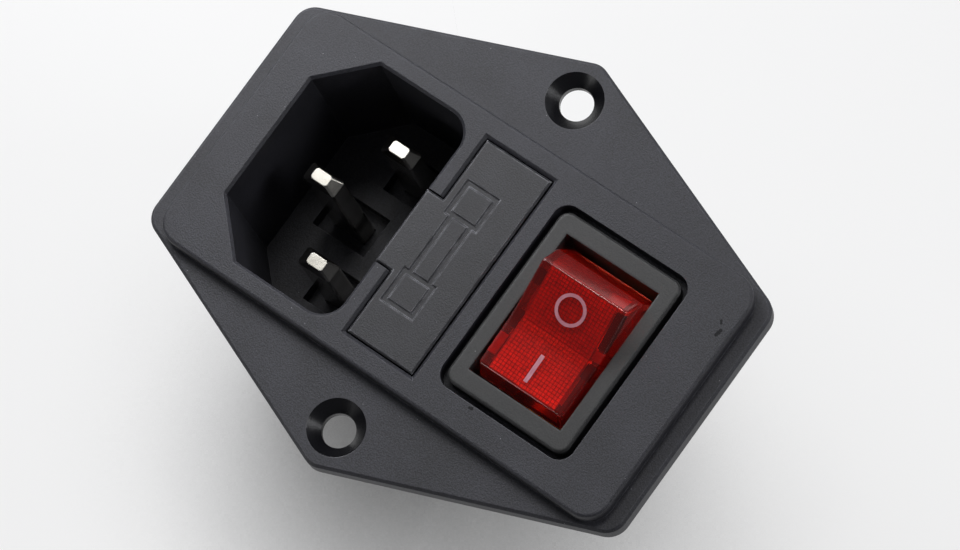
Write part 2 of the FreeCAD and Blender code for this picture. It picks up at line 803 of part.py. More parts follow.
def make_rocker():
    body = new_body("rocker")
    half = s.window_width / 2 - s.rocker_side_gap
    foot_half = window_half - s.rocker_gap
    shoulder_half = foot_half - s.rocker_lean
    top_half = shoulder_half - s.rocker_draft
    top_side = half - s.rocker_side_draft
    foot = -s.rocker_foot_drop
    shoulder = s.rocker_shoulder
    crest = s.rocker_top_rise
    flank = [(foot_half, foot), (shoulder_half, shoulder), (top_half, crest)]
    shell = [*flank, (0, s.rocker_valley), *[(-x, z) for x, z in reversed(flank)]]
    add(body, "XZ", -half, half, shell)
    # sides lean in like the ends
    for sign in (1, -1):
        lean = [(sign * half, foot), (sign * half, crest), (sign * top_side, crest)]
        cut(body, "YZ", -foot_half, foot_half, lean)
    dress(body, "Fillet", s.valley_round, lambda edge: at_end(edge, 0))
    dress(body, "Fillet", s.shoulder_round, lambda edge: is_ridge(edge, shoulder))
    dress(body, "Fillet", s.rocker_corner, is_corner)
    dress(body, "Fillet", s.rocker_edge, lambda edge: edge.BoundBox.ZMin > s.rocker_valley.value - 0.5)
    wall = s.rocker_wall
    side = s.rocker_side_wall
    slope = [(foot_half - side, foot), (shoulder_half - side, shoulder), (top_half - side, crest - wall)]
    hollow = [*slope, (0, s.rocker_valley - wall), *[(-x, z) for x, z in reversed(slope)]]
    room = top_side - side
    cut(body, "XZ", -room, room, hollow)
    # post for the plunger, and a trunnion on each side
    add(body, "XY", -s.post_drop, s.rocker_valley - wall / 2, Round(0, 0, s.post_radius))
    cut(body, "XY", -s.post_drop, s.bore_depth - s.post_drop, Round(0, 0, s.bore_radius))
    reach = s.window_width / 2 + s.trunnion_reach
    pin = Round(0, 0, s.trunnion_radius)
    add(body, "XZ", room, reach, pin)
    add(body, "XZ", -reach, -room, pin)
    place_on_rocker(body)
    return body


def make_plunger():
    body = new_body("contact_plunger")
    tip = lever_z + lever_under + s.lever_thick + s.plunger_gap - pivot_z
    seat = s.plunger_seat - s.post_drop
    radius = s.plunger_radius
    add(body, "XY", tip, seat, Round(0, 0, radius))
    dress(body, "Chamfer", radius * 0.6, lambda edge: level(edge, tip))
    place_on_rocker(body)
    spring = new_body("plunger_spring")
    wire = s.spring_wire / 2
    coil = s.bore_radius - s.spring_gap - wire
    length = s.bore_depth - s.plunger_seat - s.spring_wire
    sketch = new_sketch(spring, "XZ", 0)
    draw(sketch, [centred(coil, seat + wire, s.spring_wire, s.spring_wire)])
    helix = spring.newObject("PartDesign::AdditiveHelix", "plunger_spring_helix")
    helix.Profile = sketch
    helix.ReferenceAxis = (sketch, ["V_Axis"])
    helix.Mode = "pitch-height-angle"
    bind(helix, "Pitch", length / s.spring_turns)
    bind(helix, "Height", length)
    doc.recompute()
    place_on_rocker(spring)


def make_lever():
    # see-saw strip with a notch that rides on the knife edge of the common terminal
    body = new_body("contact_lever")
    top = lever_under + s.lever_thick
    right = [(s.notch_half, lever_under), (lever_half, lever_under), (lever_half, top)]
    add(body, "XZ", -s.lever_width / 2, s.lever_width / 2, mirrored(right) + [(0, s.knife_gap)])
    place(body, 0, switch_y, lever_z, Vector(0, 1, 0), s.lever_tilt)
    rivet = new_body("moving_contact")
    head = Round(contact_place, 0, s.contact_radius)
    add(rivet, "XY", lever_under - s.contact_height, lever_under, head)
    place(rivet, 0, switch_y, lever_z, Vector(0, 1, 0), s.lever_tilt)


def riser_outline(middle, top):
    return rect(middle - s.riser_width / 2, middle + s.riser_width / 2, frame_inner, top)


def make_terminals():
    half = s.tab_thick / 2
    # common terminal with the knife edge
    common = new_body("terminal_common")
    shoulder = lever_z - s.knife_height
    add(common, "YZ", -half, half, tab_outline(0, terminal_end, shoulder))
    knife = [(-half, shoulder), (half, shoulder), (0, lever_z)]
    add(common, "XZ", -s.tab_width / 2, s.tab_width / 2, knife)
    cut_tab_hole(common, "YZ", 0, terminal_end)
    place(common, 0, switch_y, 0)
    # load terminal: tab, ledge for the fixed contact and riser for the resistor
    load = new_body("terminal_load")
    ledge = frame_inner + s.tab_thick
    riser_top = lamp_z + s.riser_proud
    add(load, "YZ", -half, half, tab_outline(0, terminal_end, ledge))
    cut_tab_hole(load, "YZ", 0, terminal_end)
    add(load, "YZ", -half, half, rect(-s.resistor_side, 0, frame_inner, ledge))
    add(load, "YZ", -half, half, riser_outline(-s.resistor_side, riser_top))
    reach = s.terminal_spacing - contact_place + s.ledge_margin
    add(load, "XY", frame_inner, ledge, rect(-reach, half, -s.ledge_half, s.ledge_half))
    place(load, s.terminal_spacing, switch_y, 0)
    fixed = new_body("fixed_contact")
    drop = (s.contact_height - lever_under) * cosine(s.lever_tilt)
    top = lever_z - drop - (contact_place + s.contact_radius) * sine(s.lever_tilt)
    add(fixed, "XY", ledge, top - s.contact_gap, Round(0, 0, s.contact_radius))
    place(fixed, contact_place, switch_y, 0)
    # lamp terminal: tab and riser
    lamp = new_body("terminal_lamp")
    place_y = s.lamp_side + s.lead_spread
    add(lamp, "YZ", -half, half, tab_outline(0, terminal_end, ledge))
    cut_tab_hole(lamp, "YZ", 0, terminal_end)
    add(lamp, "YZ", -half, half, rect(0, place_y, frame_inner, ledge))
    add(lamp, "YZ", -half, half, riser_outline(place_y, riser_top))
    place(lamp, -s.terminal_spacing, switch_y, 0)


def make_lamp():
    half = s.terminal_spacing - s.lamp_clear
    glass = new_body("neon_lamp")
    turn(glass, "XZ", rect(-half, half, 0, s.lamp_radius))
    dress(glass, "Chamfer", s.lamp_radius * 0.6, lambda edge: at_end(edge, half))
    place(glass, 0, switch_y + s.lamp_side, lamp_z)
    inner = s.terminal_spacing - s.tab_thick / 2
    lead = new_body("lamp_lead")
    add(lead, "YZ", -inner, -half, Round(0, 0, s.lead_radius))
    place(lead, 0, switch_y + s.lamp_side + s.lead_spread, lamp_z)
    # series resistor and its straight lead to the load terminal
    end = s.resistor_length / 2
    resistor = new_body("lamp_resistor")
    turn(resistor, "XZ", rect(-end, end, 0, s.resistor_radius))
    bevel = s.resistor_radius * 0.4
    dress(resistor, "Chamfer", bevel, lambda edge: at_end(edge, end) or at_end(edge, -end))
    place(resistor, s.resistor_shift, switch_y - s.resistor_side, lamp_z)
    tail = new_body("resistor_lead")
    add(tail, "YZ", s.resistor_shift + end, inner, Round(0, 0, s.lead_radius))
    place(tail, 0, switch_y - s.resistor_side, lamp_z)
    make_link(half, s.resistor_shift - end)


def make_link(lamp_half, resistor_start):
    # bent wire from the second lead of the lamp across to the resistor
    link = new_body("lamp_link")
    bend = -lamp_half - s.lead_bend
    high = s.lamp_side - s.lead_spread
    low = -s.resistor_side
    corner = s.lead_turn
    path = new_sketch(link, "XY", 0)
    stops = [(-lamp_half, high), (bend + corner, high), (bend, high - corner), (bend, low + corner),
             (bend + corner, low), (resistor_start, low)]
    draw_line(path, stops)
    section = new_sketch(link, "YZ", -lamp_half)
    draw(section, [Round(high, 0, s.lead_radius)])
    pipe = link.newObject("PartDesign::AdditivePipe", "lamp_link_pipe")
    pipe.Profile = section
    pipe.Spine = path
    pipe.Transition = "Right corner"
    doc.recompute()
    place(link, 0, switch_y, lamp_z)


def check_and_export():
    doc.recompute()
    for item in doc.Objects:
        if {"Invalid", "Error"} & set(item.State):
            raise ValueError(f"{item.Name} is in error")
    os.makedirs("parts", exist_ok=True)
    for body in pieces:
        shape = body.Shape
        if shape.isNull() or not shape.isValid() or len(shape.Solids) != 1:
            raise ValueError(f"{body.Label} is not one sound solid")
        shape.exportStep(f"parts/{body.Label}.step")
        print(f"{body.Label}: {shape.Volume:.2f} cubic mm")


make_housing()
make_pin("line_pin", -power_x, pin_row, s.power_tip_depth, True)
make_pin("neutral_pin", power_x, pin_row, s.power_tip_depth, False)
make_pin("earth_pin", 0, earth_y, s.earth_tip_depth, False)
make_fuse_contact("fuse_contact_line", -1)
make_fuse_contact("fuse_contact_load", 1)
make_drawer()
make_fuse()
make_frame()
make_rocker()
make_plunger()
make_lever()
make_terminals()
make_lamp()
check_and_export()
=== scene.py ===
import math

import bpy
from mathutils import Matrix, Vector


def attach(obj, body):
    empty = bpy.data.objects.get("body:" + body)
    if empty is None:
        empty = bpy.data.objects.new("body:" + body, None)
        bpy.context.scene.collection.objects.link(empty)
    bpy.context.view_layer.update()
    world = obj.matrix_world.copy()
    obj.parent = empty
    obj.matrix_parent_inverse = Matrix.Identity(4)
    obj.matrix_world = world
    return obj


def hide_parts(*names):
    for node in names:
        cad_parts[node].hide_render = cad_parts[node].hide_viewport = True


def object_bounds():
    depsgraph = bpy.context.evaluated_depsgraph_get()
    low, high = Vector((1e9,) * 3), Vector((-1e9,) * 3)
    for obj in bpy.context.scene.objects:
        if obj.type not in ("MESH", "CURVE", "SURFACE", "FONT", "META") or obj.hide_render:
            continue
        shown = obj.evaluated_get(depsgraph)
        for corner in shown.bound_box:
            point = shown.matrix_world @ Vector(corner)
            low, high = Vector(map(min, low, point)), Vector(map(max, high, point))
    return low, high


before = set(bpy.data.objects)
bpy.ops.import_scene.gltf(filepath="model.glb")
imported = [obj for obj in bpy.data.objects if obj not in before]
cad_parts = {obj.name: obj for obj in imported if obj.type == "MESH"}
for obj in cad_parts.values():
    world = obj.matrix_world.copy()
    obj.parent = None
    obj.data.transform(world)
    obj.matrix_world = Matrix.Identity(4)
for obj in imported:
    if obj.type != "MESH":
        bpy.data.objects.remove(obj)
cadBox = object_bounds()
mm = 0.001  # the frame is in metres, the sizes below in millimetres
print("frame loaded:", len(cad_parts), "nodes")


# colours are written as sRGB hex and used as linear light
def hexToLinear(code):
    channels = [int(code[i:i + 2], 16) / 255 for i in (1, 3, 5)]
    linear = [c / 12.92 if c <= 0.04045 else ((c + 0.055) / 1.055) ** 2.4 for c in channels]
    return (*linear, 1.0)


def perMm(size):
    return 1.0 / (size * mm)  # pattern scale for a feature of this many millimetres


def linkInto(tree, node, links):
    for name, source in links.items():
        tree.links.new(source, node.inputs[name])


# one node with its settings, its incoming links and, on a colour ramp, its stops
def addNode(tree, kind, settings=None, links=None, stops=()):
    node = tree.nodes.new("ShaderNode" + kind)
    for name, value in (settings or {}).items():
        if isinstance(name, int) or name in node.inputs:
            node.inputs[name].default_value = value
        else:
            setattr(node, name, value)
    linkInto(tree, node, links or {})
    if stops:
        elements = node.color_ramp.elements
        while len(elements) < len(stops):
            elements.new(1.0)
        for element, (place, code) in zip(elements, stops):
            element.position = place
            element.color = hexToLinear(code)
    return node


def newMaterial(name, settings):
    material = bpy.data.materials.new(name)
    material.use_nodes = True
    tree = material.node_tree
    tree.nodes.clear()
    shader = addNode(tree, "BsdfPrincipled", settings)
    addNode(tree, "OutputMaterial", links={"Surface": shader.outputs["BSDF"]})
    return material, tree, shader


# an operator acts on all that is selected, so the rest is let go first
def selectOnly(piece):
    bpy.ops.object.select_all(action="DESELECT")
    piece.select_set(True)
    bpy.context.view_layer.objects.active = piece


# puts a piece's place, turn and scale into its mesh
def bakePlace(piece):
    selectOnly(piece)
    bpy.ops.object.transform_apply(location=True, rotation=True, scale=True)


def applyModifier(piece, kind, settings):
    selectOnly(piece)
    modifier = piece.modifiers.new(kind.lower(), kind)
    for name, value in settings.items():
        setattr(modifier, name, value)
    bpy.ops.object.modifier_apply(modifier=modifier.name)


# edit mode with every face selected
def editAll():
    bpy.ops.object.mode_set(mode="EDIT")
    bpy.ops.mesh.select_mode(type="FACE")
    bpy.ops.mesh.select_all(action="SELECT")


# camera at the photograph's place, lens as fitted to its vanishing lines
cameraSetup = {
    "place": (-59.5, -135.7, 414.7),
    "right": (0.5831, -0.7941, -0.1714),
    "up": (0.8009, 0.5263, 0.2857),
    "lens": 167.97,
    "sensor": 36.0,
    "nearest": 10.0,
}


def makeCamera(setup):
    data = bpy.data.cameras.new("camera")
    data.lens = setup["lens"]
    data.sensor_width = setup["sensor"]
    data.clip_start = setup["nearest"] * mm
    camera = bpy.data.objects.new("camera", data)
    right = Vector(setup["right"]).normalized()
    up = Vector(setup["up"])
    up = (up - up.dot(right) * right).normalized()  # exactly square to the other
    turn = Matrix((right, up, right.cross(up))).transposed().to_4x4()
    camera.matrix_world = Matrix.Translation(Vector(setup["place"]) * mm) @ turn
    bpy.context.scene.collection.objects.link(camera)
    bpy.context.scene.camera = camera


makeCamera(cameraSetup)
bpy.context.scene.view_settings.view_transform = "Standard"
print("camera set")

# pale table, a soft key from the O end, a side panel at the inlet end, a fill at the switch end,
# a low rim panel at the I end and a far panel that the pin tips mirror
studio = {
    "floorSize": 20000.0,
    "floorDrop": 0.3,
    "floorRoughness": 0.9,
    "floorIor": 1.45,
    "floorColour": "#f1f1f1",  # as other surfaces see it
    "seenColour": "#7c7c7c",   # as the camera and mirrors see it, with the glow
    "glowColour": "#ffffff",
    "seenGlow": (0.03, 0.69),  # in the object's shade and in the open
    "shadeSide": (0.78, 0.2, 0.56),  # the glow fades where the object stands in this direction
    "shadeReach": 40.0,
    "shadeRange": (0.38, 0.91),  # open share of the view to that side, from full shade to none
    "shadeSamples": 16,
    "skyColour": "#f4f7ff",
    "skyStrength": (0.1, 0.62),  # darkest and brightest side of the room
    "skySide": (0.85, 0.5, 0.08),
    "lamps": (  # name, place, size, power and colour
        ("keyPanel", (235.0, 60.0, 430.0), 120.0, 0.53, "#fffefb"),
        ("sidePanel", (50.0, 95.0, 85.0), 80.0, 0.145, "#fbfcff"),
        ("fillPanel", (120.0, -190.0, 130.0), 90.0, 0.2, "#fbfcff"),
        ("rimPanel", (-190.0, 75.0, 75.0), 70.0, 0.05, "#ffffff"),
        ("tipPanel", (230.0, 290.0, 900.0), 210.0, 0.6, "#ffffff"),
    ),
}


# matt paper that glows for the camera and for mirrors, less so in the object's shade
def makeFloor(setup):
    bpy.ops.object.select_all(action="DESELECT")
    low = cadBox[0][2] - setup["floorDrop"] * mm
    bpy.ops.mesh.primitive_plane_add(size=setup["floorSize"] * mm, location=(0, 0, low))
    floor = bpy.context.object
    floor.name = "tableTop"
    bakePlace(floor)
    paper, tree, shader = newMaterial("mattPaperSweep", {
        "Roughness": setup["floorRoughness"], "IOR": setup["floorIor"],
        "Emission Color": hexToLinear(setup["glowColour"])})
    path = addNode(tree, "LightPath").outputs
    mirrors = addNode(tree, "Math", {"operation": "ADD"},
                      {0: path["Is Glossy Ray"], 1: path["Is Transmission Ray"]})
    seen = addNode(tree, "Math", {"operation": "ADD", "use_clamp": True},
                   {0: path["Is Camera Ray"], 1: mirrors.outputs["Value"]}).outputs["Value"]
    tone = addNode(tree, "MixRGB", {"Color1": hexToLinear(setup["floorColour"]),
                                    "Color2": hexToLinear(setup["seenColour"])}, {"Fac": seen})
    side = addNode(tree, "CombineXYZ", dict(zip("XYZ", setup["shadeSide"])))
    shade = addNode(tree, "AmbientOcclusion",
                    {"Distance": setup["shadeReach"] * mm, "samples": setup["shadeSamples"]},
                    {"Normal": side.outputs["Vector"]})
    shut, clear = setup["shadeRange"]
    dim, bright = setup["seenGlow"]
    even = addNode(tree, "MapRange", {"interpolation_type": "SMOOTHSTEP",
                                      "From Min": shut, "From Max": clear,
                                      "To Min": dim, "To Max": bright},
                   {"Value": shade.outputs["AO"]})
    glow = addNode(tree, "Math", {"operation": "MULTIPLY"}, {0: seen, 1: even.outputs["Result"]})
    linkInto(tree, shader, {"Base Color": tone.outputs["Color"],
                            "Emission Strength": glow.outputs["Value"]})
    floor.data.materials.append(paper)


# a room that is brighter on one side
def makeSky(setup):
    world = bpy.data.worlds.new("studio")
    world.use_nodes = True
    tree = world.node_tree
    sky = tree.nodes["Background"]
    sky.inputs["Color"].default_value = hexToLinear(setup["skyColour"])
    looking = addNode(tree, "TexCoord").outputs["Generated"]
    side = addNode(tree, "VectorMath", {"operation": "DOT_PRODUCT", 1: setup["skySide"]},
                   {0: looking})
    dim, bright = setup["skyStrength"]
    lit = addNode(tree, "MapRange", {"interpolation_type": "SMOOTHSTEP",
                                     "To Min": dim, "To Max": bright},
                  {"Value": side.outputs["Value"]})
    linkInto(tree, sky, {"Strength": lit.outputs["Result"]})
    bpy.context.scene.world = world


# square panels that face the object
def makeLamps(setup):
    for name, place, size, power, colour in setup["lamps"]:
        data = bpy.data.lights.new(name, "AREA")
        data.size = size * mm
        data.energy = power
        data.color = hexToLinear(colour)[:3]
        panel = bpy.data.objects.new(name, data)
        panel.location = Vector(place) * mm
        panel.rotation_euler = (-panel.location).to_track_quat("-Z", "Y").to_euler()
        panel.visible_camera = False
        bpy.context.scene.collection.objects.link(panel)


makeFloor(studio)
makeSky(studio)
makeLamps(studio)
print("studio lit")

edgeSamples = 4  # rays for the rounded look of an edge
linesAlongX = (0.05, 1.0, 1.0)  # stretch of the lines in drawn metal and glass
linesAlongZ = (1.0, 1.0, 0.05)

# what the black mouldings have in common
blackMoulding = {
    "ior": 1.53,
    "shine": 0.5,  # specular level of a clean face
    "cloudDetail": 3.0,
    "grainDetail": 2.0,
    "cloudShare": 0.3,  # of the tone, the rest is grain
    "toneStops": (0.36, 0.64),
    "chip": 1.2,  # patches in which an edge's wear and painted highlight are stronger or weaker
    "chipDetail": 3.0,
    "chipRange": (0.4, 0.62),
    "chipLeast": 0.35,
    "edgeWearAndHighlightRange": (0.99, 0.8),  # cosine of the edge's bend, from untouched to most rubbed and highlighted
    "edgeWearAndHighlightMost": 0.9,
    "reliefDepth": 0.05,
    "sinkRelief": 0.1,  # share of the grain that is left in a polished sink
}

# the three black mouldings, their grain drawn coarser than real, so that it shows
finishes = {
    "nylon": {
        "dark": "#131318", "light": "#2f2f36", "edgeWearAndHighlightColour": "#6a6a70", "round": 0.14,
        "grain": 0.17, "cloud": 6.0, "roughness": (0.5, 0.68), "bump": 0.7,
        "speck": 1.6, "speckSize": 0.05, "speckColour": "#77777c",
        "sinks": ((20.0, 0.0, 3.0), (-20.0, 0.0, 3.0)),
        # the countersinks' darker colour is painted shade
        "sinkPaintedShadeColour": "#0b0b0e", "sinkRoughness": 0.24,
        "nicks": ((9.32, -25.63, 0.14), (9.12, -25.77, 0.14), (8.48, -26.14, 0.19),
                  (8.2, -26.08, 0.22), (7.92, -26.02, 0.19), (-11.27, -10.28, 0.15),
                  (-11.23, -10.52, 0.17)),
        "nickColour": "#101013", "nickShine": 0.22,
    },
    "drawer": {
        "dark": "#0e0e12", "light": "#25252a", "edgeWearAndHighlightColour": "#a2a2a8", "round": 0.2,
        "grain": 0.17, "cloud": 4.0, "roughness": (0.46, 0.62), "bump": 0.6,
        "speck": 1.6, "speckSize": 0.05, "speckColour": "#77777c",
    },
    "bezel": {
        "dark": "#1c1c1c", "light": "#2a2a2a", "edgeWearAndHighlightColour": "#5a5a5a", "round": 0.3,
        "grain": 0.16, "cloud": 5.0, "roughness": (0.46, 0.58), "bump": 0.3,
        "speck": 3.0, "speckSize": 0.06, "speckColour": "#6b6b6b",
    },
}


# mask of round spots on the front face, each given by its x, y and radius
def roundSpots(tree, coords, spots):
    level = addNode(tree, "VectorMath", {"operation": "MULTIPLY", 1: (1.0, 1.0, 0.0)}, {0: coords})
    mask = addNode(tree, "Value").outputs["Value"]  # zero, as a new node has it
    for x, y, radius in spots:
        away = addNode(tree, "VectorMath", {"operation": "DISTANCE", 1: (x * mm, y * mm, 0.0)},
                       {0: level.outputs["Vector"]})
        near = addNode(tree, "Math", {"operation": "LESS_THAN", 1: radius * mm},
                       {0: away.outputs["Value"]})
        mask = addNode(tree, "Math", {"operation": "MAXIMUM"},
                       {0: mask, 1: near.outputs["Value"]}).outputs["Value"]
    return mask


# glass-filled nylon from a spark-eroded mould: matt grey-black with a fine sparkle of grain, pale
# specks and paler edges, partly rubbed and partly painted highlight
def mouldedBlack(name, look):
    shared = blackMoulding
    material, tree, shader = newMaterial(name, {"IOR": shared["ior"]})
    coords = addNode(tree, "TexCoord").outputs["Object"]

    # grain, clouds and specks
    cloud = addNode(tree, "TexNoise",
                    {"Scale": perMm(look["cloud"]), "Detail": shared["cloudDetail"]},
                    {"Vector": coords})
    grain = addNode(tree, "TexNoise",
                    {"Scale": perMm(look["grain"]), "Detail": shared["grainDetail"]},
                    {"Vector": coords}).outputs["Fac"]
    blotch = addNode(tree, "Mix", {"Factor": shared["cloudShare"]},
                     {"A": grain, "B": cloud.outputs["Fac"]})
    darkStop, lightStop = shared["toneStops"]
    tone = addNode(tree, "ValToRGB", links={"Fac": blotch.outputs["Result"]},
                   stops=((darkStop, look["dark"]), (lightStop, look["light"])))
    cells = addNode(tree, "TexVoronoi", {"Scale": perMm(look["speck"])}, {"Vector": coords})
    speck = addNode(tree, "Math", {"operation": "LESS_THAN", 1: look["speckSize"] / look["speck"]},
                    {0: cells.outputs["Distance"]})
    dusted = addNode(tree, "MixRGB", {"Color2": hexToLinear(look["speckColour"])},
                     {"Fac": speck.outputs["Value"], "Color1": tone.outputs["Color"]})
    low, high = look["roughness"]
    gloss = addNode(tree, "MapRange", {"To Min": low, "To Max": high},
                    {"Value": grain}).outputs["Result"]

    # edges paler where they bend most, partly rubbed and partly painted highlight
    rounded = addNode(tree, "Bevel", {"Radius": look["round"] * mm, "samples": edgeSamples})
    flat = addNode(tree, "NewGeometry").outputs["Normal"]
    bend = addNode(tree, "VectorMath", {"operation": "DOT_PRODUCT"},
                   {0: rounded.outputs["Normal"], 1: flat})
    chips = addNode(tree, "TexNoise",
                    {"Scale": perMm(shared["chip"]), "Detail": shared["chipDetail"]},
                    {"Vector": coords})
    low, high = shared["chipRange"]
    patch = addNode(tree, "MapRange",
                    {"From Min": low, "From Max": high, "To Min": shared["chipLeast"]},
                    {"Value": chips.outputs["Fac"]})
    low, high = shared["edgeWearAndHighlightRange"]
    wornAndHighlighted = addNode(tree, "MapRange",
                     {"From Min": low, "From Max": high, "To Max": shared["edgeWearAndHighlightMost"]},
                     {"Value": bend.outputs["Value"]})
    wearAndHighlight = addNode(tree, "Math", {"operation": "MULTIPLY"},
                   {0: wornAndHighlighted.outputs["Result"], 1: patch.outputs["Result"]})
    colour = addNode(tree, "MixRGB", {"Color2": hexToLinear(look["edgeWearAndHighlightColour"])},
                     {"Fac": wearAndHighlight.outputs["Value"],
                      "Color1": dusted.outputs["Color"]}).outputs["Color"]
    relief = addNode(tree, "Bump",
                     {"Strength": look["bump"], "Distance": shared["reliefDepth"] * mm},
                     {"Height": grain, "Normal": rounded.outputs["Normal"]})

    if "sinks" in look:  # the countersinks come from polished core pins, so they are smoother; their darker colour is painted shade
        sink = roundSpots(tree, coords, look["sinks"])
        colour = addNode(tree, "MixRGB", {"Color2": hexToLinear(look["sinkPaintedShadeColour"])},
                         {"Fac": sink, "Color1": colour}).outputs["Color"]
        gloss = addNode(tree, "Mix", {"B": look["sinkRoughness"]},
                        {"Factor": sink, "A": gloss}).outputs["Result"]
        ground = addNode(tree, "MapRange", {"To Min": look["bump"],
                                            "To Max": shared["sinkRelief"] * look["bump"]},
                         {"Value": sink})
        linkInto(tree, relief, {"Strength": ground.outputs["Result"]})
    if "nicks" in look:  # small knocks that left the face dark and dull
        nick = roundSpots(tree, coords, look["nicks"])
        colour = addNode(tree, "MixRGB", {"Color2": hexToLinear(look["nickColour"])},
                         {"Fac": nick, "Color1": colour}).outputs["Color"]
        dull = addNode(tree, "MapRange", {"To Min": shared["shine"], "To Max": look["nickShine"]},
                       {"Value": nick})
        linkInto(tree, shader, {"Specular IOR Level": dull.outputs["Result"]})
    linkInto(tree, shader, {"Base Color": colour, "Roughness": gloss,
                            "Normal": relief.outputs["Normal"]})
    return material


metalLook = {
    "line": 0.12,  # drawn coarser than real, so that the lines show
    "lineDetail": 2.0,
    "stain": 2.5,
    "stainDetail": 4.0,
    "stainStops": (0.4, 0.75),
    "roughSpread": (0.75, 1.3),  # times the metal's own roughness
    "round": 0.12,
    "relief": 0.08,
    "reliefDepth": 0.02,
}


# plated or rolled metal: bright, with drawn lines along one axis and a faint tarnish
def platedMetal(name, colour, tarnish, roughness, lines=linesAlongZ):
    look = metalLook
    material, tree, shader = newMaterial(name, {"Metallic": 1.0})
    coords = addNode(tree, "TexCoord").outputs["Object"]
    stretch = addNode(tree, "Mapping", {"Scale": lines}, {"Vector": coords})
    drawn = addNode(tree, "TexNoise",
                    {"Scale": perMm(look["line"]), "Detail": look["lineDetail"]},
                    {"Vector": stretch.outputs["Vector"]}).outputs["Fac"]
    stain = addNode(tree, "TexNoise",
                    {"Scale": perMm(look["stain"]), "Detail": look["stainDetail"]},
                    {"Vector": coords})
    cleanStop, stainStop = look["stainStops"]
    tone = addNode(tree, "ValToRGB", links={"Fac": stain.outputs["Fac"]},
                   stops=((cleanStop, colour), (stainStop, tarnish)))
    low, high = look["roughSpread"]
    rough = addNode(tree, "MapRange", {"To Min": roughness * low, "To Max": roughness * high},
                    {"Value": drawn})
    rounded = addNode(tree, "Bevel", {"Radius": look["round"] * mm, "samples": edgeSamples})
    relief = addNode(tree, "Bump",
                     {"Strength": look["relief"], "Distance": look["reliefDepth"] * mm},
                     {"Height": drawn, "Normal": rounded.outputs["Normal"]})
    linkInto(tree, shader, {"Base Color": tone.outputs["Color"],
                            "Roughness": rough.outputs["Result"],
                            "Normal": relief.outputs["Normal"]})
    return material


clearRedLook = {
    "ior": 1.58,
    "clear": 0.92,
    "flow": 3.0,  # streaks of the dye
    "flowDetail": 2.0,
    "tones": ((0.3, "#dc2414"), (0.7, "#ea2c19")),
    "roughness": (0.07, 0.15),
}


# clear polycarbonate dyed red and polished: deep red where it is thick, hard glints on its edges
def clearRed(name, look):
    material, tree, shader = newMaterial(name, {"IOR": look["ior"],
                                                "Transmission Weight": look["clear"]})
    coords = addNode(tree, "TexCoord").outputs["Object"]
    flow = addNode(tree, "TexNoise",
                   {"Scale": perMm(look["flow"]), "Detail": look["flowDetail"]},
                   {"Vector": coords}).outputs["Fac"]
    tone = addNode(tree, "ValToRGB", links={"Fac": flow}, stops=look["tones"])
    low, high = look["roughness"]
    haze = addNode(tree, "MapRange", {"To Min": low, "To Max": high}, {"Value": flow})
    linkInto(tree, shader, {"Base Color": tone.outputs["Color"],
                            "Roughness": haze.outputs["Result"]})
    return material


prismLook = {
    "ior": 1.58,
    "paintedLightSpan": (-6.5, 4.5),  # from the I end to the O end, along which the painted light changes
    "mottle": 0.5,
    "mottleDetail": 2.0,
    "mottleRange": (0.3, 0.7),
    "lightness": (0.8, 1.2),
    # painted light: the cells brightest at the I end, darkest past the middle, a little lighter at
    # the O end
    "cellPaintedLightTones": ((0.0, "#e0442a"), (0.17, "#cc3a24"), (0.42, "#a42211"), (1.0, "#bc2a18")),
    "cellRoughness": 0.35,
    # painted light in the lines too: lighter at the I end, darker at the O end
    "linePaintedLightTones": ((0.0, "#8c1a10"), (1.0, "#6a0f08")),
    "lineRoughness": 0.3,
}


# the moulded prism grid under the rocker's top, red with painted light: a ramp along the rocker
# paints each cell brightest at the I end, whose cells lie square to the light
def prismRed(name, tones, roughness):
    look = prismLook
    material, tree, shader = newMaterial(name, {"IOR": look["ior"], "Roughness": roughness})
    coords = addNode(tree, "TexCoord").outputs["Object"]
    # painted light: the tone follows the place along the rocker, not the lamps
    along = addNode(tree, "SeparateXYZ", links={"Vector": coords}).outputs["X"]
    start, end = look["paintedLightSpan"]
    place = addNode(tree, "MapRange", {"From Min": start * mm, "From Max": end * mm},
                    {"Value": along})
    tone = addNode(tree, "ValToRGB", links={"Fac": place.outputs["Result"]}, stops=tones)
    mottle = addNode(tree, "TexNoise",
                     {"Scale": perMm(look["mottle"]), "Detail": look["mottleDetail"]},
                     {"Vector": coords})
    low, high = look["mottleRange"]
    dim, bright = look["lightness"]
    value = addNode(tree, "MapRange", {"From Min": low, "From Max": high,
                                       "To Min": dim, "To Max": bright},
                    {"Value": mottle.outputs["Fac"]})
    cell = addNode(tree, "HueSaturation", links={"Color": tone.outputs["Color"],
                                                 "Value": value.outputs["Result"]})
    linkInto(tree, shader, {"Base Color": cell.outputs["Color"]})
    return material


glassLook = {
    "ior": 1.52,
    "line": 0.4,  # drawn coarser than real, so that the lines show
    "lineDetail": 2.0,
    "tones": ((0.35, "#e6f2ea"), (0.7, "#f3faf6")),
    "roughness": (0.0, 0.06),
}


# drawn glass tube: clear with a trace of green, and faint lines along its length
def clearGlass(name, look):
    material, tree, shader = newMaterial(name, {"IOR": look["ior"], "Transmission Weight": 1.0})
    coords = addNode(tree, "TexCoord").outputs["Object"]
    stretch = addNode(tree, "Mapping", {"Scale": linesAlongX}, {"Vector": coords})
    drawn = addNode(tree, "TexNoise",
                    {"Scale": perMm(look["line"]), "Detail": look["lineDetail"]},
                    {"Vector": stretch.outputs["Vector"]}).outputs["Fac"]
    tone = addNode(tree, "ValToRGB", links={"Fac": drawn}, stops=look["tones"])
    low, high = look["roughness"]
    haze = addNode(tree, "MapRange", {"To Min": low, "To Max": high}, {"Value": drawn})
    linkInto(tree, shader, {"Base Color": tone.outputs["Color"],
                            "Roughness": haze.outputs["Result"]})
    return material


plainLook = {
    "ior": 1.48,
    "mottle": 0.9,
    "mottleDetail": 4.0,
    "toneStops": (0.35, 0.7),
    "shine": 0.5,
    "buriedShine": 0.0,  # of a lug, which clear plastic covers
}


